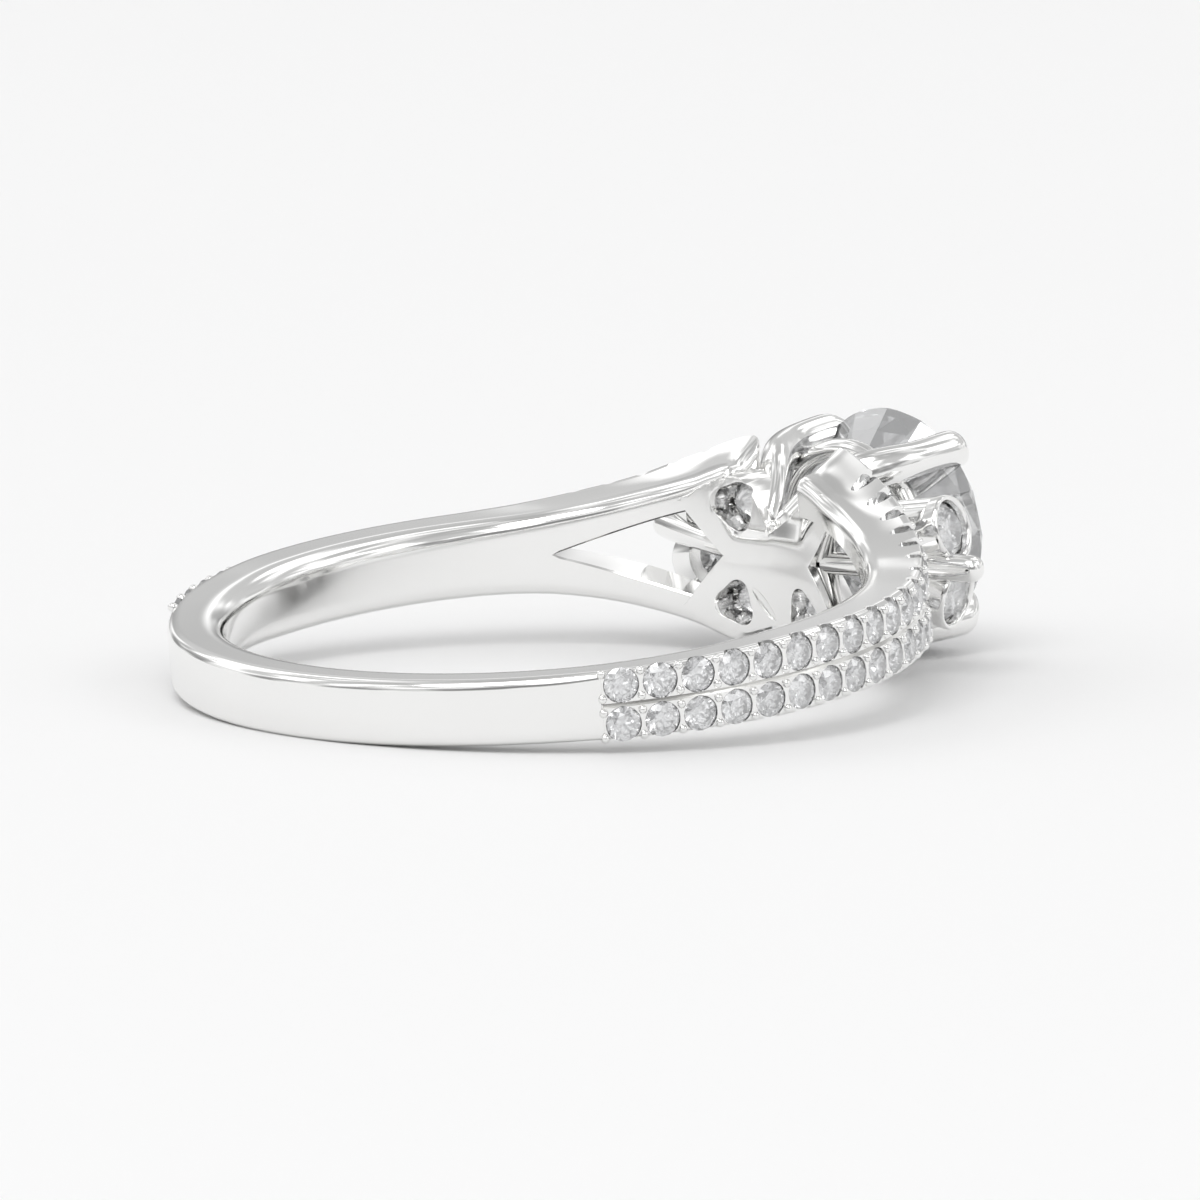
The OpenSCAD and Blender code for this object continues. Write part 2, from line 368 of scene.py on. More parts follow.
def white_gold():
    """Polished white gold with a faint orange peel and hardly visible wear."""
    material, tree, shader = new_material("white gold")
    if tree:
        shader.inputs["Base Color"].default_value = (*looks().metal, 1)
        shader.inputs["Metallic"].default_value = 1
        haze = noise(tree, 900, 3.0)
        tree.links.new(ranged(tree, haze.outputs["Fac"], *METAL_ROUGHNESS), shader.inputs["Roughness"])
        peel = noise(tree, 1500, 1.0)
        bump = node(tree, "ShaderNodeBump", Strength=0.05, Distance=0.00002)
        tree.links.new(peel.outputs["Fac"], bump.inputs["Height"])
        tree.links.new(bump.outputs["Normal"], shader.inputs["Normal"])
    return material


def diamond(name="cut diamond", clear=0.9):
    """Clear cut diamond, its polish varying a little over the facets."""
    material, tree, shader = new_material(name)
    if tree:
        shader.inputs["Base Color"].default_value = (*looks().stone, 1)
        shader.inputs["IOR"].default_value = 2.417
        shader.inputs["Transmission Weight"].default_value = clear
        shader.inputs["Metallic"].default_value = 0.2
        polish = noise(tree, 700)
        tree.links.new(ranged(tree, polish.outputs["Fac"], 0.0, 0.03), shader.inputs["Roughness"])
    return material


def pale_floor():
    material, tree, shader = new_material("pale floor")
    if tree:
        shader.inputs["Specular IOR Level"].default_value = 0.2
        shader.inputs["Roughness"].default_value = 0.6
        cloud = noise(tree, 14)
        tint = node(tree, "ShaderNodeMix", data_type="RGBA")
        tint.inputs[6].default_value = (*looks().floor, 1)
        tint.inputs[7].default_value = (*[0.985 * c for c in looks().floor], 1)
        tree.links.new(cloud.outputs["Fac"], tint.inputs[0])
        tree.links.new(tint.outputs[2], shader.inputs["Base Color"])
    return material


# The shank with its four branches

# Radius of the outer corner by the angle from the head, sharper along the small stones
OUTER_CORNER = [(0, 0.14), (118, 0.14), (135, 0.26), (180, 0.3)]
# How far the rounded inner edge reaches up the side and along the bore
INNER_EDGE = [(0, 0.45), (40, 0.45), (75, 0.6), (180, 0.62)]
EDGE_DEPTH = [(0, 0.36), (40, 0.36), (75, 0.5), (180, 0.52)]
WALL_CHAMFER = 0.05
TIP_TURN = 1.9
FACE_STEPS, CORNER_STEPS, SIDE_STEPS, EDGE_STEPS, BORE_STEPS, WALL_STEPS = 12, 5, 8, 8, 4, 6


def section(t):
    """Upper half of the band's cross section at an angle, from the middle of its outside round to the inside."""
    bore = in_mm(sizes().bore_radius)
    rim, inner, out = smooth_at(t, RIM_HEIGHT), smooth_at(t, INNER_HEIGHT), outer_radius(t)
    slot_out = smooth_at(t, SLOT_OUTER) if t < CROTCH_OUTER else 0
    slot_in = smooth_at(t, SLOT_INNER) if t < CROTCH_INNER else 0
    cut_out, cut_in = min(WALL_CHAMFER, slot_out), min(WALL_CHAMFER, slot_in)
    corner, edge, depth = smooth_at(t, OUTER_CORNER), smooth_at(t, INNER_EDGE), smooth_at(t, EDGE_DEPTH)
    points = []
    for k in range(FACE_STEPS):
        low = slot_out + cut_out
        points.append((out, low + (rim - corner - low) * k / FACE_STEPS))
    for k in range(CORNER_STEPS):
        a = math.radians(90 * k / CORNER_STEPS)
        points.append((out - corner * (1 - math.cos(a)), rim - corner * (1 - math.sin(a))))
    start, end = out - corner, bore + edge
    for k in range(SIDE_STEPS):
        f = k / SIDE_STEPS
        points.append((start + (end - start) * f, inner + (rim - inner) * (1 - f)**1.35))
    for k in range(EDGE_STEPS):
        a = math.radians(90 * k / EDGE_STEPS)
        points.append((bore + edge * (1 - math.sin(a)), inner - depth * (1 - math.cos(a))))
    for k in range(BORE_STEPS + 1):
        high = inner - depth
        points.append((bore, high + (slot_in + cut_in - high) * k / BORE_STEPS))
    return points


def slot_wall(t):
    """Wall of the opening between two branches at an angle, from the inside out."""
    bore, out = in_mm(sizes().bore_radius), outer_radius(t)
    slot_out = smooth_at(t, SLOT_OUTER)
    if t >= CROTCH_INNER:
        f = (t - CROTCH_INNER) / (CROTCH_OUTER - CROTCH_INNER)
        ends = [(bore + (out - bore) * f, 0), (bore + (out - bore) * f, 0)]
    else:
        slot_in = smooth_at(t, SLOT_INNER)
        cut = min(WALL_CHAMFER, slot_in)
        ends = [(bore, slot_in + cut), (bore + cut, slot_in)]
    cut = min(WALL_CHAMFER, slot_out)
    last = [(out - cut, slot_out), (out, slot_out + cut)]
    if t >= CROTCH_OUTER:
        last = [(out, 0), (out, 0)]
    middle = [tuple(a + (b - a) * k / (WALL_STEPS - 2) for a, b in zip(ends[1], last[0]))
              for k in range(1, WALL_STEPS - 2)]
    return [*ends, *middle, *last]


def branch_turns():
    """Angles of the rows of the shank from a branch's rounded tip to the back, and how much each row shrinks."""
    tip = math.degrees(sizes().branch_end)
    turns = []
    for k in range(8):
        a = math.radians(90 * (k + 0.6) / 8)
        turns.append((tip - TIP_TURN * math.cos(a), math.sin(a)**0.8))
    turns += [(tip + (CROTCH_INNER - tip) * k / 25, 1) for k in range(25)]
    turns += [(CROTCH_INNER + (CROTCH_OUTER - CROTCH_INNER) * k / 3, 1) for k in range(4)]
    turns += [(CROTCH_OUTER + (180 - CROTCH_OUTER) * k / 88, 1) for k in range(1, 89)]
    return turns


def shrunk(points, centre, scale):
    return [(centre[0] + (r - centre[0]) * scale, centre[1] + (z - centre[1]) * scale) for r, z in points]


def shank_half():
    """Band and branches over the far upper quarter, mirrored to the whole shank."""
    bm = bmesh.new()
    turns = branch_turns()
    tip = math.degrees(sizes().branch_end)
    start = section(tip) + slot_wall(tip)
    centre = [(max(p[k] for p in start) + min(p[k] for p in start)) / 2 for k in (0, 1)]
    outline, wall = [], []
    for t, scale in turns:
        at = max(t, tip)
        outline.append([polar(r, t, z) for r, z in shrunk(section(at), centre, scale)])
        if at <= CROTCH_OUTER + 0.001:
            wall.append([polar(r, t, z) for r, z in shrunk(slot_wall(at), centre, scale)])
    grid_surface(bm, len(outline) - 1, len(outline[0]) - 1, lambda i, j: outline[i][j])
    grid_surface(bm, len(wall) - 1, len(wall[0]) - 1, lambda i, j: wall[i][j])
    bmesh.ops.remove_doubles(bm, verts=bm.verts, dist=0.0005)
    tip_edges = [e for e in bm.edges if e.is_boundary and all(
        abs(math.degrees(math.atan2(v.co.y, v.co.x)) - turns[0][0]) < 0.01 for v in e.verts)]
    bmesh.ops.contextual_create(bm, geom=tip_edges)
    for v in bm.verts:
        if abs(v.co.z) < 0.001:
            v.co.z = 0
        if abs(v.co.y) < 0.001:
            v.co.y = 0
    for axis in "ZY":
        bmesh.ops.mirror(bm, geom=bm.verts[:] + bm.edges[:] + bm.faces[:], axis=axis, merge_dist=0.0005)
    bmesh.ops.remove_doubles(bm, verts=bm.verts, dist=0.0005)
    bmesh.ops.dissolve_degenerate(bm, dist=0.00005, edges=bm.edges)
    bmesh.ops.recalc_face_normals(bm, faces=bm.faces)
    return bm


def pave_turns():
    """Angles of the small stones in a row, from the side of the band to the head."""
    turns = [PAVE_FROM]
    for step in PAVE_STEPS[:sizes().pave_count - 1]:
        turns.append(turns[-1] - step)
    return turns


GIRDLE_DEPTH = 0.05
# Depth of a cut stone below its girdle for each unit of radius, with a little air
STONE_DEPTH = 0.93
NOTCH_HALF_WIDTH = 0.25
NOTCH_DEPTH = [(18, 0.82), (34, 0.72), (60, 0.32), (180, 0.22)]
# The far side's scallops are shallow, and its rim looks smooth from above
FAR_NOTCH = 0.3
# How far above its girdle a seat is open, and the room that the settings leave for the stones nearest to the head
SEAT_ABOVE, ROOM_ABOVE = 0.5, 0.17
LAST_STONES = 5


def each_seat(side):
    """Angle, row height, rim height and outside radius for each small stone on one side of the ring."""
    for t in pave_turns():
        for up in (1, -1):
            yield side * t, up, smooth_at(t, ROW_HEIGHT), smooth_at(t, RIM_HEIGHT), outer_radius(t)


def stone_seat(bm, seat, radius, above, sides=28):
    """Adds the room of a stone to a cutter: a cone below the girdle and a short tube above it."""
    radius += 0.01
    levels = ((-0.03 - STONE_DEPTH * radius, 0.02), (-0.03, radius), (above, radius))
    sweep(bm, [seat @ Matrix.Translation((0, 0, h)) @ Matrix.Diagonal((r, r, 1, 1)) for h, r in levels], sides)


def seat_tool(side):
    """Cutter for the seats of the small stones on one side of the ring."""
    bm = bmesh.new()
    for t, up, row, rim, out in each_seat(side):
        stone_seat(bm, radial_frame(out - GIRDLE_DEPTH, t, up * row),
                   in_mm(sizes().pave_stone_radius), SEAT_ABOVE)
    return working_object(bm, "seats")


def last_stones_tool():
    """Cutter for the room of the small stones nearest to the head, in the far upper quarter."""
    bm = bmesh.new()
    for t in pave_turns()[-LAST_STONES:]:
        stone_seat(bm, radial_frame(outer_radius(t) - GIRDLE_DEPTH, t, smooth_at(t, ROW_HEIGHT)),
                   in_mm(sizes().pave_stone_radius), ROOM_ABOVE)
    return working_object(bm, "last stones")


def centre_room_tool():
    """Cutter for the room of the centre stone, with its crown."""
    bm = bmesh.new()
    radius, girdle = in_mm(sizes().stone_radius) + 0.005, in_mm(sizes().girdle_distance)
    crown = (1 - TABLE) * math.tan(CROWN_ANGLE) * radius
    levels = ((-STONE_DEPTH * radius, 0.02), (-0.05, radius), (0.05, radius), (0.05 + crown, TABLE * radius))
    sweep(bm, [facing((girdle + h, 0, 0), (1, 0, 0)) @ Matrix.Diagonal((r, r, 1, 1)) for h, r in levels], 96)
    return working_object(bm, "centre room")


def notch_tool(side):
    """Cutter for the scallops in the edge of the band beside the small stones on one side of the ring."""
    bm = bmesh.new()
    share = FAR_NOTCH if side > 0 else 1
    for t, up, row, rim, out in each_seat(side):
        length = rim - row + 0.25
        notch = facing(polar(out + 0.02, t, up * (row + length / 2 + 0.05)), (0, 0, 1), polar(1, t, 0))
        bmesh.ops.create_cone(bm, cap_ends=True, segments=24, radius1=1, radius2=1, depth=length,
                              matrix=notch @ Matrix.Diagonal(
                                  (NOTCH_HALF_WIDTH, share * smooth_at(abs(t), NOTCH_DEPTH), 1, 1)))
    return working_object(bm, "notches")


def groove_tool(side):
    """Cutter for the groove between the two rows of small stones, and for the line where they begin."""
    bm = bmesh.new()
    first, last = PAVE_FROM + 3.1, CROTCH_OUTER + 1
    steps = 80

    def place(i, j):
        t = last + (first - last) * i / steps
        r, z = [(0.16, 0), (-0.03, 0.075), (-0.03, -0.075), (0.16, 0)][j]
        return polar(outer_radius(t) - r, side * t, z)

    grid_surface(bm, steps, 3, place)
    bmesh.ops.remove_doubles(bm, verts=bm.verts, dist=0.0005)
    bmesh.ops.holes_fill(bm, edges=[e for e in bm.edges if e.is_boundary], sides=3)
    line = radial_frame(outer_radius(first), side * first, 0)
    bmesh.ops.create_cube(bm, size=1, matrix=line @ Matrix.Diagonal((0.05, 3, 0.12, 1)))
    bmesh.ops.recalc_face_normals(bm, faces=bm.faces)
    return working_object(bm, "groove")


def opening_tool():
    """Cutter for the plate's small openings where the ends of the branches would fill them."""
    bm = bmesh.new()
    bore, radius = in_mm(sizes().bore_radius), AZURE_RADIUS * OPENING_ROOM
    for side, up in AZURES:
        y, z = azure_place(up)
        sweep(bm, [facing((bore + h, side * y, up * z), (1, 0, 0)) @ Matrix.Diagonal((radius, radius, 1, 1))
                   for h in OPENING_REACH], 32)
    return working_object(bm, "openings")


class RING_OT_shank(bpy.types.Operator):
    """Build the shank with its branches, seats and scalloped edges"""

    bl_idname = "ring.shank"
    bl_label = "Shank"

    def execute(self, context):
        body = working_object(shank_half(), "shank blank")
        tools = [tool(side) for tool in (notch_tool, seat_tool, groove_tool) for side in (1, -1)]
        tools.append(opening_tool())
        bm = carve(body, tools)
        finish_piece(bm, "shank", white_gold(), replaces=["ring_mount"])
        return {"FINISHED"}


BEAD_RADIUS = 0.13
BEAD_OFFSET = 0.34


class RING_OT_beads(bpy.types.Operator):
    """Build the small metal beads that hold the small stones"""

    bl_idname = "ring.beads"
    bl_label = "Pave beads"

    def execute(self, context):
        bm = bmesh.new()
        turns = pave_turns()
        gaps = [turns[0] + 2.9] + [(a + b) / 2 for a, b in zip(turns, turns[1:])] + [turns[-1] - 2.7]
        for t in gaps:
            row, out = smooth_at(t, ROW_HEIGHT), outer_radius(t)
            for side in (1, -1):
                for up in (1, -1):
                    for across in (-BEAD_OFFSET, BEAD_OFFSET):
                        place = radial_frame(out - 0.02, side * t, up * (row + across))
                        bmesh.ops.create_uvsphere(
                            bm, u_segments=10, v_segments=7, radius=1,
                            matrix=place @ Matrix.Diagonal((BEAD_RADIUS, BEAD_RADIUS, 0.15, 1)))
        finish_piece(bm, "pave_beads", white_gold(), angle=180)
        return {"FINISHED"}


# The gallery plate

PLATE_THICKNESS = 1.05
# The plate is cut into cells before it is bent round the finger hole, and the shift keeps the cuts off its corners
PLATE_CELL, CELL_SHIFT = 0.12, 0.013
ARM = [(1.62, 0), (2.2, 0.62), (2.75, 1.3), (2.88, 1.52), (2.5, 1.72), (2.0, 2.02), (1.45, 2.24), (0.9, 2.2),
       (0.45, 1.62), (0, 0.72)]
SLIM_ARM = [(1.62, 0), (2.2, 0.62), (2.75, 1.3), (2.85, 1.8), (2.2, 2.2), (1.75, 2.0), (1.2, 1.57), (0.6, 1.13),
            (0, 0.72)]
# On the lower side the arms run into the branches, and the plate is closed between them
LOW_ARM = [(1.62, 0), (2.2, 0.62), (2.75, 1.3), (2.9, 1.58), (2.3, 1.88), (1.5, 2.1), (1.0, 2.14), (0.5, 2.0),
           (0, 1.85)]
# A shallow fold beside the far lower opening: its ends and its two radii
CREASE = ((0.66, 0.84), (-0.12, 1.68))
CREASE_SIZE = (0.15, 0.06)
AZURES = [(1, 1), (1, -1), (-1, -1)]
AZURE_Y, AZURE_Z, AZURE_RADIUS, AZURE_DEPTH = 1.3, 1.32, 0.54, 0.5
# The far upper opening is larger, and lies nearer to the middle and higher
UPPER_SHIFT = (-0.14, 0.12)
UPPER_SHARE = 1.1
# Room for an opening in a branch's end, as a share of its radius, and how far the cut reaches in and out
OPENING_ROOM = 1.12
OPENING_REACH = (-1.2, 0.8)
LEDGE = [(0, 0.45), (1.2, 0.45), (1.65, 0.93), (2.24, 1.52), (3, 2.1)]


def plate_outline():
    """Outline of the crossed plate laid flat, as y and z."""
    far_up = [tuple(p) for p in smooth_path(ARM, 4)]
    near_up = [(-y, z) for y, z in smooth_path(SLIM_ARM, 4)[-2::-1]]
    near_low = [(-y, -z) for y, z in smooth_path(LOW_ARM, 4)[1:]]
    far_low = [(y, -z) for y, z in smooth_path(LOW_ARM, 4)[-2:0:-1]]
    return far_up + near_up + near_low + far_low


def azure_place(up):
    """How far a small opening of the plate lies across and along the finger."""
    return (AZURE_Y + UPPER_SHIFT[0], AZURE_Z + UPPER_SHIFT[1]) if up > 0 else (AZURE_Y, AZURE_Z)


class RING_OT_gallery(bpy.types.Operator):
    """Build the crossed plate under the head with its small openings"""

    bl_idname = "ring.gallery"
    bl_label = "Gallery"

    def execute(self, context):
        bm = bmesh.new()
        verts = [bm.verts.new((y, z, 0)) for y, z in plate_outline()]
        face = bm.faces.new(verts)
        wall = bmesh.ops.extrude_face_region(bm, geom=[face])["geom"]
        bmesh.ops.translate(bm, vec=(0, 0, PLATE_THICKNESS),
                            verts=[v for v in wall if isinstance(v, bmesh.types.BMVert)])
        bmesh.ops.recalc_face_normals(bm, faces=bm.faces)
        holes = bmesh.new()
        for side, up in AZURES:
            levels = ((-1, 1.12), (0, 1.12), (0.35, 1), (2, 1))
            middle_y, middle_z = azure_place(up)
            share = AZURE_RADIUS * (UPPER_SHARE if up > 0 else 1)
            sweep(holes, [Matrix.Translation((side * middle_y, up * middle_z, h)) @ Matrix.Diagonal((r, r, 1, 1))
                          for h, r in levels], 42)
            for v in holes.verts[-len(levels) * 42:]:
                y, z = side * v.co.x - middle_y, up * v.co.y - middle_z
                r = share * (1 + 0.14 * math.cos(3 * (math.atan2(z, y) - math.radians(10))))
                v.co.x, v.co.y = side * (middle_y + y * r), up * (middle_z + z * r)
        bm = carve(working_object(bm, "plate"), [working_object(holes, "holes")])
        rims = [e for e in bm.edges if e.calc_face_angle(0) > math.radians(60)
                and abs(e.verts[0].co.z - e.verts[1].co.z) < 0.001]
        bmesh.ops.bevel(bm, geom=rims, offset=0.06, offset_type="OFFSET", affect="EDGES", segments=3, profile=0.5,
                        material=-1, clamp_overlap=True)
        crease = bmesh.new()
        a, b = (Vector((y, -z, 0)) for y, z in CREASE)
        bmesh.ops.create_uvsphere(crease, u_segments=20, v_segments=14, radius=1,
                                  matrix=facing((a + b) / 2, b - a)
                                  @ Matrix.Diagonal((CREASE_SIZE[0], CREASE_SIZE[1], (b - a).length / 2, 1)))
        bm = carve(working_object(bm, "plate"), [working_object(crease, "crease")])
        for axis, reach in ((0, 3), (1, 2.6)):
            steps = int(reach / PLATE_CELL)
            for k in range(-steps, steps + 1):
                normal = Vector((axis == 0, axis == 1, 0))
                bmesh.ops.bisect_plane(bm, geom=bm.verts[:] + bm.edges[:] + bm.faces[:],
                                       plane_co=normal * (k * PLATE_CELL + CELL_SHIFT), plane_no=normal, dist=0.0001)
        bore = in_mm(sizes().bore_radius)
        for v in bm.verts:
            y, z, h = v.co
            push = 0.01 - 0.022 * smooth_step(-z / 0.5)
            if z > 0 and y > 0:
                # The far upper arm runs into its branch without a seam
                push = 0.07 * smooth_step((z - smooth_at(y, LEDGE)) / 0.4) * (1 - smooth_step((y - 0.9) / 0.9))
                push -= 0.012 * smooth_step((y - 0.3) / 0.6)
            elif z > 0:
                push += 0.17 * smooth_step((z - smooth_at(-y, LEDGE)) / 0.9)
                push = max(push, 0.3 * smooth_step((-y - 2.2) / 0.4) * smooth_step((z - 1.4) / 0.3))
            r = bore + h + push * (1 - h / PLATE_THICKNESS)
            v.co = (math.sqrt(r * r - y * y), y, z)
        finish_piece(bm, "gallery", white_gold(), angle=28)
        return {"FINISHED"}


# The head


def four_times(bm):
    """Mirrors what a mesh holds to the other three corners of the head."""
    for axis in "YZ":
        bmesh.ops.mirror(bm, geom=bm.verts[:] + bm.edges[:] + bm.faces[:], axis=axis, merge_dist=-1)


def prong_stations():
    """Rows along a corner prong: distance from the finger axis, two offsets and a radius."""
    bore, girdle, r = in_mm(sizes().bore_radius), in_mm(sizes().girdle_distance), in_mm(sizes().prong_radius)
    return [(bore + 0.35, 0.36, 0.92, r - 0.1), (bore + 0.9, 0.68, 1.36, r + 0.02), (bore + 1.5, 1.12, 1.8, r + 0.12),
            (bore + 2.1, 1.55, 2.08, r + 0.14), (girdle - 2.3, 1.95, 2.24, r + 0.08), (girdle - 1.5, 2.27, 2.34, r),
            (girdle - 0.5, 2.36, 2.38, r), (girdle, 2.34, 2.36, r), (girdle + 0.3, 2.23, 2.25, r - 0.04),
            (girdle + 0.5, 2.12, 2.14, r - 0.12), (girdle + 0.64, 2.03, 2.05, r - 0.28)]


# The beads where two prongs meet: radius, height over the finger hole and offset along the finger
FOOT_BEAD_RADIUS, FOOT_BEAD_HEIGHT, FOOT_BEAD_OFFSET = 0.17, 0.3, 0.9


class RING_OT_prongs(bpy.types.Operator):
    """Build the four corner prongs"""

    bl_idname = "ring.prongs"
    bl_label = "Prongs"

    def execute(self, context):
        bm = bmesh.new()
        stations = []
        for x, y, z, r in smooth_path(prong_stations(), 5):
            stations.append(facing((x, y, z), (1, 0, 0)) @ Matrix.Diagonal((r, r, 1, 1)))
        sweep(bm, stations, 28)
        bm = carve(working_object(bm, "prong"), [centre_room_tool()])
        four_times(bm)
        for up in (1, -1):
            place = (in_mm(sizes().bore_radius) + FOOT_BEAD_HEIGHT, 0, up * FOOT_BEAD_OFFSET)
            bmesh.ops.create_uvsphere(bm, u_segments=20, v_segments=14, radius=FOOT_BEAD_RADIUS,
                                      matrix=Matrix.Translation(place))
        finish_piece(bm, "prongs", white_gold(), angle=60)
        return {"FINISHED"}


RAIL_RADIUS, RAIL_WIRE = 2.46, 0.28


class RING_OT_rail(bpy.types.Operator):
    """Build the round rail under the centre stone"""

    bl_idname = "ring.rail"
    bl_label = "Rail"

    def execute(self, context):
        bm = bmesh.new()
        wire = bmesh.ops.create_circle(bm, cap_ends=False, segments=20, radius=RAIL_WIRE,
                                       matrix=Matrix.Translation((0, RAIL_RADIUS, 0)))["verts"]
        bmesh.ops.spin(bm, geom=wire + closed_edges(wire), cent=(0, 0, 0), axis=(1, 0, 0), angle=2 * math.pi,
                       steps=96, use_merge=True)
        bmesh.ops.remove_doubles(bm, verts=bm.verts, dist=0.0001)
        bmesh.ops.translate(bm, vec=(in_mm(sizes().rail_distance), 0, 0), verts=bm.verts)
        finish_piece(bm, "rail", white_gold(), angle=60)
        return {"FINISHED"}


SIDE_PLACE = Vector((10.9, 4.8, 0.93))
SIDE_FACING = Vector((0.27, 0.93, 0.24)).normalized()
COLLET_PROFILE = [(0.6, -0.95), (0.95, -0.95), (0.95, 0.02), (0.935, 0.1), (0.9, 0.145), (0.85, 0.15), (0.8, 0.12),
                  (0.775, 0.05), (0.77, -0.22), (0.62, -0.3)]
ROD_RADIUS = 0.3


class RING_OT_collets(bpy.types.Operator):
    """Build the four tubular settings of the side stones"""

    bl_idname = "ring.collets"
    bl_label = "Collets"

    def execute(self, context):
        bm = bmesh.new()
        verts = [bm.verts.new((r, 0, h)) for r, h in COLLET_PROFILE]
        edges = [bm.edges.new((a, b)) for a, b in zip(verts, verts[1:] + verts[:1])]
        bmesh.ops.spin(bm, geom=verts + edges, cent=(0, 0, 0), axis=(0, 0, 1), angle=2 * math.pi, steps=48,
                       use_merge=True)
        bmesh.ops.remove_doubles(bm, verts=bm.verts, dist=0.0001)
        bmesh.ops.transform(bm, matrix=facing(SIDE_PLACE, SIDE_FACING), verts=bm.verts)
        bmesh.ops.recalc_face_normals(bm, faces=bm.faces)
        bm = carve(working_object(bm, "collet"), [last_stones_tool()])
        bore = in_mm(sizes().bore_radius)
        ends = (Vector((bore + 0.85, 4.05, 1.62)), SIDE_PLACE + Vector((-0.2, -0.45, 0.57)))
        along = ends[1] - ends[0]
        rod = bmesh.new()
        thick = Matrix.Diagonal((ROD_RADIUS, ROD_RADIUS, 1, 1))
        sweep(rod, [facing(ends[0] + along * f, along) @ thick for f in (0, 0.5, 1)], 20)
        rod = carve(working_object(rod, "rod"), [last_stones_tool()])
        mesh = bpy.data.meshes.new("rod")
        rod.to_mesh(mesh)
        rod.free()
        bm.from_mesh(mesh)
        bpy.data.meshes.remove(mesh)
        four_times(bm)
        finish_piece(bm, "collets", white_gold(), angle=40)
        return {"FINISHED"}


def bar_stations():
    """Rows along a bar between two side stones: distance from the finger axis, offset and radius."""
    bore = in_mm(sizes().bore_radius)
    return [(bore + 0.55, 1.6, 0.32), (bore + 1.0, 3.2, 0.34), (10.2, 4.8, 0.38), (10.5, 5.6, 0.39),
            (10.6, 5.95, 0.35), (10.66, 6.1, 0.24), (10.69, 6.15, 0.1)]


class RING_OT_bars(bpy.types.Operator):
    """Build the bars between the side stones"""

    bl_idname = "ring.bars"
    bl_label = "Bars"

    def execute(self, context):
        bm = bmesh.new()
        stations = [facing((x, y, 0), (0.32, 0.95, 0)) @ Matrix.Diagonal((r, r, 1, 1))
                    for x, y, r in smooth_path(bar_stations(), 4)]
        sweep(bm, stations, 24)
        bmesh.ops.mirror(bm, geom=bm.verts[:] + bm.edges[:] + bm.faces[:], axis="Y", merge_dist=-1)
        finish_piece(bm, "bars", white_gold(), angle=60)
        return {"FINISHED"}


# The stones

TABLE = 0.57
HALF_GIRDLE = 0.015
CROWN_ANGLE, STAR_ANGLE, PAVILION_ANGLE, LOWER_ANGLE = (math.radians(a) for a in (34.5, 21.5, 40.8, 42.3))


def cut_plane(bm, normal, distance):
    """Cuts off what lies beyond a plane, as a facet is ground, and closes the cut."""
    bmesh.ops.bisect_plane(bm, geom=bm.verts[:] + bm.edges[:] + bm.faces[:], plane_co=normal * distance,
                           plane_no=normal, clear_outer=True, dist=1e-5)
    bmesh.ops.remove_doubles(bm, verts=bm.verts, dist=1e-4)
    bmesh.ops.holes_fill(bm, edges=[e for e in bm.edges if e.is_boundary], sides=0)


def brilliant(girdle_sides):
    """A round brilliant of radius 1 with its table up: table, stars, kites, upper and lower halves and mains."""
    bm = bmesh.new()
    bmesh.ops.create_cone(bm, cap_ends=True, segments=girdle_sides, radius1=1, radius2=1, depth=2.4)

    def facets(count, first, angle, radius, height, up):
        for k in range(count):
            a = math.radians(first + 360 * k / count)
            normal = Vector((math.sin(angle) * math.cos(a), math.sin(angle) * math.sin(a), up * math.cos(angle)))
            cut_plane(bm, normal, math.sin(angle) * radius + math.cos(angle) * height)

    eighth = math.radians(22.5)
    sixteenth = math.radians(11.25)
    top = HALF_GIRDLE + (1 - TABLE) * math.tan(CROWN_ANGLE)
    facets(8, 0, CROWN_ANGLE, 1, HALF_GIRDLE, 1)
    star_radius = TABLE * math.cos(eighth)
    facets(8, 22.5, STAR_ANGLE, star_radius, top, 1)
    kite = math.sin(CROWN_ANGLE) + math.cos(CROWN_ANGLE) * HALF_GIRDLE
    star = math.sin(STAR_ANGLE) * star_radius + math.cos(STAR_ANGLE) * top
    # The corner where a star meets two kites, on the line between them
    det = (math.sin(CROWN_ANGLE) * math.cos(eighth) * math.cos(STAR_ANGLE)
           - math.sin(STAR_ANGLE) * math.cos(CROWN_ANGLE))
    corner_r = (kite * math.cos(STAR_ANGLE) - star * math.cos(CROWN_ANGLE)) / det
    corner_z = (star - math.sin(STAR_ANGLE) * corner_r) / math.cos(STAR_ANGLE)
    upper = math.atan2(corner_z - HALF_GIRDLE, (1 - corner_r) * math.cos(sixteenth))
    facets(16, 11.25, upper, math.cos(sixteenth), HALF_GIRDLE, 1)
    cut_plane(bm, Vector((0, 0, 1)), top)
    facets(8, 0, PAVILION_ANGLE, 1, HALF_GIRDLE, -1)
    facets(16, 11.25, LOWER_ANGLE, math.cos(sixteenth), HALF_GIRDLE, -1)
    return bm


def place_stones(name, places, radius, girdle_sides, replaces, material=None):
    """Makes one piece of equal stones at some places."""
    cut = brilliant(girdle_sides)
    pattern = bpy.data.meshes.new("cut stone")
    cut.to_mesh(pattern)
    cut.free()
    bm = bmesh.new()
    for place in places:
        before = len(bm.verts)
        bm.from_mesh(pattern)
        bm.verts.ensure_lookup_table()
        bmesh.ops.transform(bm, matrix=place @ Matrix.Scale(radius, 4), verts=bm.verts[before:])
    bpy.data.meshes.remove(pattern)
    return finish_piece(bm, name, material or diamond(), replaces=replaces, facets=True)


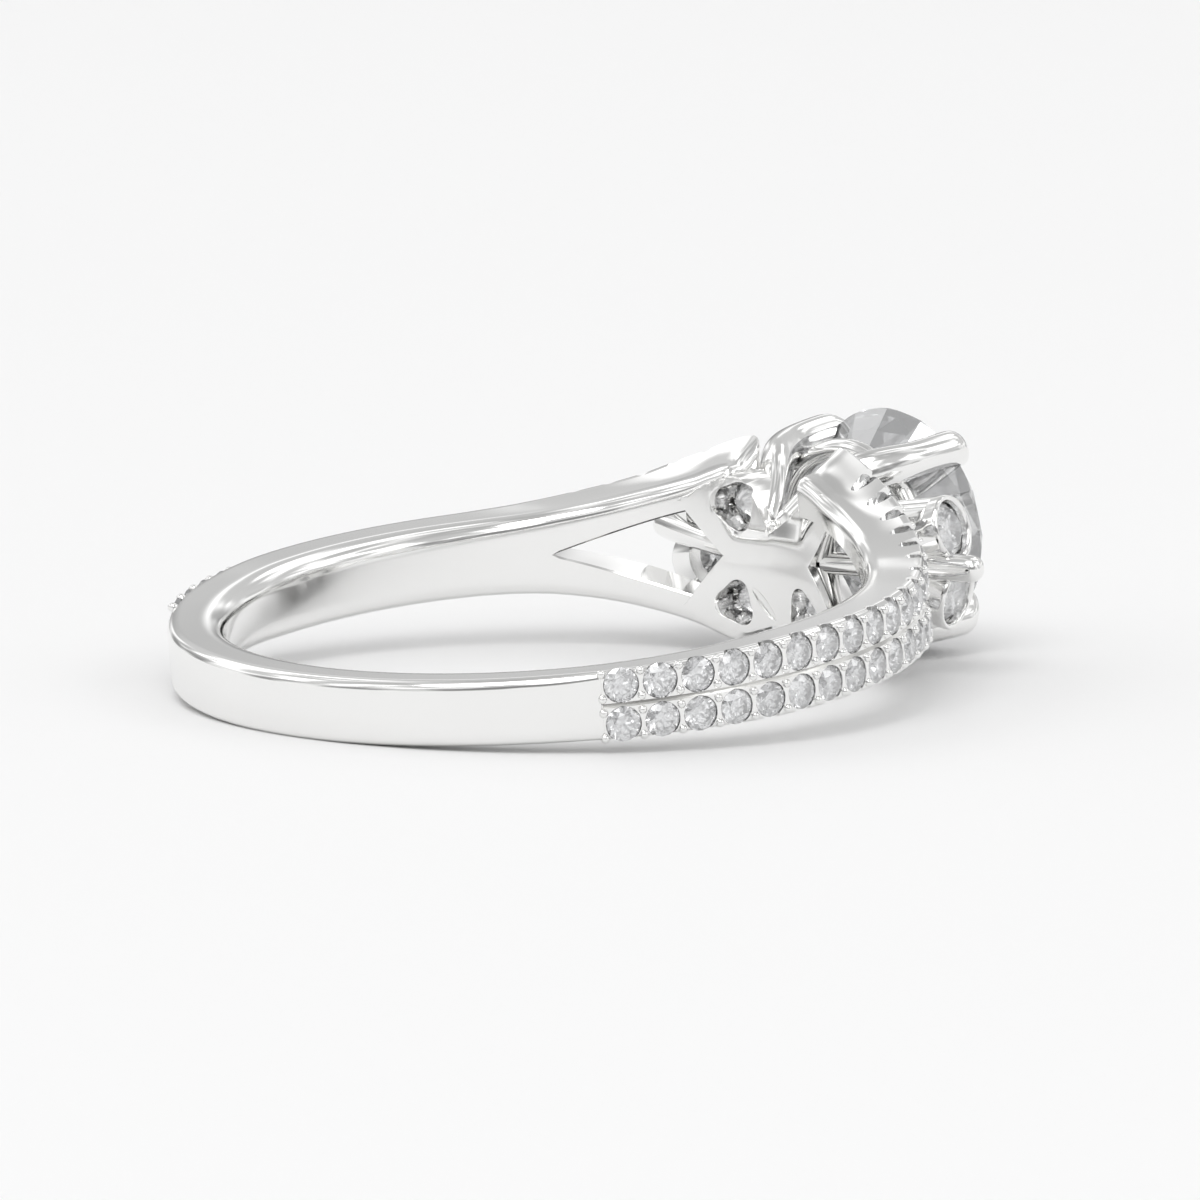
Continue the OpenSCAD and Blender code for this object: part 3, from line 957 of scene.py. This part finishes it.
class RING_OT_centre_stone(bpy.types.Operator):
    """Cut the centre stone"""

    bl_idname = "ring.centre_stone"
    bl_label = "Centre stone"

    def execute(self, context):
        turn = Matrix.Rotation(math.radians(22.5), 4, "Z")
        place = facing((in_mm(sizes().girdle_distance), 0, 0), (1, 0, 0)) @ turn
        place_stones("centre_stone", [place], in_mm(sizes().stone_radius), 64, ["centre_diamond"],
                     diamond("large cut diamond", 0.8))
        return {"FINISHED"}


class RING_OT_side_stones(bpy.types.Operator):
    """Cut the four side stones and the small stones in the gallery"""

    bl_idname = "ring.side_stones"
    bl_label = "Side stones"

    def execute(self, context):
        for side, side_name in ((-1, "near"), (1, "far")):
            for up, up_name in ((1, "up"), (-1, "low")):
                flip = Matrix.Diagonal((1, side, up, 1))
                towards = flip @ SIDE_FACING
                place = facing(flip @ SIDE_PLACE - towards * 0.1, towards)
                name = f"{side_name}_{up_name}"
                place_stones("side_stone_" + name, [place], in_mm(sizes().side_stone_radius), 32,
                             ["side_stone_" + name])
                if (side, up) in AZURES:
                    depth = in_mm(sizes().bore_radius) + AZURE_DEPTH
                    y, z = azure_place(up)
                    place = facing((depth, side * y, up * z), (1, 0, 0))
                    place_stones("gallery_stone_" + name, [place], in_mm(sizes().gallery_stone_radius), 32,
                                 ["gallery_stone_" + name])
        return {"FINISHED"}


class RING_OT_pave_stones(bpy.types.Operator):
    """Cut the small stones along the shank"""

    bl_idname = "ring.pave_stones"
    bl_label = "Pave stones"

    def execute(self, context):
        for side, name in ((-1, "near_pave"), (1, "far_pave")):
            places = []
            for t in pave_turns():
                for up in (1, -1):
                    turn = Matrix.Rotation(math.radians(37 * len(places)), 4, "Z")
                    place = radial_frame(outer_radius(t) - GIRDLE_DEPTH, side * t, up * smooth_at(t, ROW_HEIGHT))
                    places.append(place @ turn)
            place_stones(name + "_stones", places, in_mm(sizes().pave_stone_radius), 16, [name])
        return {"FINISHED"}


# The stage

CAMERA_DISTANCE = 400.0
PIXELS_PER_MM = 37.03
IMAGE_SIDE = 1200
RING_CENTRE_PIXEL = (545.6, 625.5)
CAMERA_AZIMUTH, CAMERA_HEIGHT, CAMERA_ROLL = (math.radians(a) for a in (43.96, 12.83, -4.18))


def add_camera():
    """Camera at the photograph's angle, worked out in the ring's own frame."""
    level = Vector((math.cos(CAMERA_AZIMUTH), -math.sin(CAMERA_AZIMUTH), 0))
    ahead = Vector((math.sin(CAMERA_AZIMUTH) * math.cos(CAMERA_HEIGHT),
                    math.cos(CAMERA_AZIMUTH) * math.cos(CAMERA_HEIGHT), -math.sin(CAMERA_HEIGHT)))
    above = level.cross(ahead)
    right = level * math.cos(CAMERA_ROLL) + above * math.sin(CAMERA_ROLL)
    above = right.cross(ahead)
    turn = Matrix((right, above, -ahead)).transposed().to_4x4()
    data = bpy.data.cameras.new("camera")
    data.sensor_width = 36
    data.sensor_fit = "HORIZONTAL"
    data.lens = PIXELS_PER_MM * CAMERA_DISTANCE / IMAGE_SIDE * data.sensor_width
    data.shift_x = (IMAGE_SIDE / 2 - RING_CENTRE_PIXEL[0]) / IMAGE_SIDE
    data.shift_y = (RING_CENTRE_PIXEL[1] - IMAGE_SIDE / 2) / IMAGE_SIDE
    data.clip_start = 0.01
    data.clip_end = 50
    camera = bpy.data.objects.new("camera", data)
    place = ring_place() @ Matrix.Translation(-ahead * CAMERA_DISTANCE) @ turn
    camera.matrix_world = Matrix.LocRotScale(place.to_translation(), place.to_quaternion(), Vector((1, 1, 1)))
    bpy.context.scene.collection.objects.link(camera)
    bpy.context.scene.camera = camera


def add_light(name, place, size, power, target=(0, 0, 0.003)):
    data = bpy.data.lights.new(name, "AREA")
    data.shape = "DISK"
    data.size = size
    data.energy = power
    light = bpy.data.objects.new(name, data)
    towards = Vector(target) - Vector(place)
    light.matrix_world = Matrix.Translation(place) @ towards.to_track_quat("-Z", "Y").to_matrix().to_4x4()
    bpy.context.scene.collection.objects.link(light)


SKY_BEHIND = ((0, 0.6), (0.12, 0.5), (0.25, 0.75), (0.4, 1.1), (0.7, 1.0), (1, 0.8))
SKY_BEFORE = ((0, 0.8), (0.1, 0.45), (0.3, 0.42), (0.45, 1.0), (0.7, 1.05), (1, 0.8))
# Size and range of the lighter and darker patches of the studio's walls, which the facets and the metal mirror
PATCH_SCALE = 3.0
PATCH_LEVELS = (0.6, 1.75)
PATCH_RANGE = (0.42, 0.66)
KEY_PLACE, KEY_SIZE, KEY_POWER = (-0.8, -0.2, 1.4), 1.0, 7


def soft_world():
    """Studio light by height over the horizon, with a darker band on the camera's side."""
    world = bpy.data.worlds.new("studio")
    bpy.context.scene.world = world
    world.use_nodes = True
    tree = world.node_tree
    tree.nodes.clear()
    where = node(tree, "ShaderNodeTexCoord")
    split = node(tree, "ShaderNodeSeparateXYZ")
    tree.links.new(where.outputs["Generated"], split.inputs["Vector"])
    skies = []
    for levels in (SKY_BEHIND, SKY_BEFORE):
        ramp = node(tree, "ShaderNodeValToRGB")
        ramp.color_ramp.interpolation = "EASE"
        bands = ramp.color_ramp.elements
        for position, level in levels[1:-1]:
            bands.new(position)
        for band, (position, level) in zip(bands, levels):
            band.position, band.color = position, (level, level, level, 1)
        tree.links.new(split.outputs["Z"], ramp.inputs["Fac"])
        skies.append(ramp.outputs["Color"])
    toward = node(tree, "ShaderNodeVectorMath", operation="DOT_PRODUCT")
    toward.inputs[1].default_value = (-0.7, -0.71, 0)
    tree.links.new(where.outputs["Generated"], toward.inputs[0])
    side = node(tree, "ShaderNodeMapRange", interpolation_type="SMOOTHSTEP")
    side.inputs["From Min"].default_value = 0.1
    side.inputs["From Max"].default_value = 0.8
    tree.links.new(toward.outputs["Value"], side.inputs["Value"])
    blend = node(tree, "ShaderNodeMix", data_type="RGBA")
    tree.links.new(side.outputs["Result"], blend.inputs[0])
    tree.links.new(skies[0], blend.inputs[6])
    tree.links.new(skies[1], blend.inputs[7])
    patches = node(tree, "ShaderNodeTexNoise", Scale=PATCH_SCALE, Detail=1.0)
    tree.links.new(where.outputs["Generated"], patches.inputs["Vector"])
    level = node(tree, "ShaderNodeMapRange", interpolation_type="SMOOTHSTEP")
    for socket, value in zip(("From Min", "From Max", "To Min", "To Max"), (*PATCH_RANGE, *PATCH_LEVELS)):
        level.inputs[socket].default_value = value
    tree.links.new(patches.outputs["Fac"], level.inputs["Value"])
    uneven = node(tree, "ShaderNodeVectorMath", operation="SCALE")
    tree.links.new(blend.outputs[2], uneven.inputs[0])
    tree.links.new(level.outputs["Result"], uneven.inputs["Scale"])
    shade = node(tree, "ShaderNodeBackground", Strength=1.0)
    out = node(tree, "ShaderNodeOutputWorld")
    tree.links.new(uneven.outputs["Vector"], shade.inputs["Color"])
    tree.links.new(shade.outputs["Background"], out.inputs["Surface"])


class RING_OT_stage(bpy.types.Operator):
    """Add the floor, the light and the camera"""

    bl_idname = "ring.stage"
    bl_label = "Stage"

    def execute(self, context):
        scene = context.scene
        scene.view_settings.view_transform = "Standard"
        add_camera()
        soft_world()
        add_light("key light", KEY_PLACE, KEY_SIZE, KEY_POWER)
        bm = bmesh.new()
        bmesh.ops.create_grid(bm, x_segments=4, y_segments=4, size=3)
        mesh = bpy.data.meshes.new("floor")
        bm.to_mesh(mesh)
        bm.free()
        mesh.materials.append(pale_floor())
        floor = bpy.data.objects.new("floor", mesh)
        scene.collection.objects.link(floor)
        floor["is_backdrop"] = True
        return {"FINISHED"}


PIECES = [RING_OT_shank, RING_OT_beads, RING_OT_gallery, RING_OT_prongs, RING_OT_rail, RING_OT_collets, RING_OT_bars,
          RING_OT_centre_stone, RING_OT_side_stones, RING_OT_pave_stones, RING_OT_stage]


class RING_PT_pieces(bpy.types.Panel):
    """Panel with a button for each group of pieces"""

    bl_idname = "RING_PT_pieces"
    bl_label = "Diamond ring"
    bl_space_type = "VIEW_3D"
    bl_region_type = "UI"
    bl_category = "Ring"

    def draw(self, context):
        for group in (context.scene.ring_sizes, context.scene.ring_looks):
            for name in group.bl_rna.properties.keys():
                if name not in ("rna_type", "name"):
                    self.layout.prop(group, name)
        for piece in PIECES:
            self.layout.operator(piece.bl_idname)


CLASSES = [RingSizes, RingLooks, *PIECES, RING_PT_pieces]


def register():
    for cls in CLASSES:
        bpy.utils.register_class(cls)
    bpy.types.Scene.ring_sizes = PointerProperty(type=RingSizes)
    bpy.types.Scene.ring_looks = PointerProperty(type=RingLooks)


def unregister():
    del bpy.types.Scene.ring_looks
    del bpy.types.Scene.ring_sizes
    for cls in reversed(CLASSES):
        bpy.utils.unregister_class(cls)


def corners(box):
    return [list(corner) for corner in box]


def main():
    register()
    for piece in PIECES:
        group, name = piece.bl_idname.split(".")
        getattr(getattr(bpy.ops, group), name)()
    {"cad": corners(CAD_BOX), "visual": corners(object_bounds())}


if __name__ == "__main__":
    main()
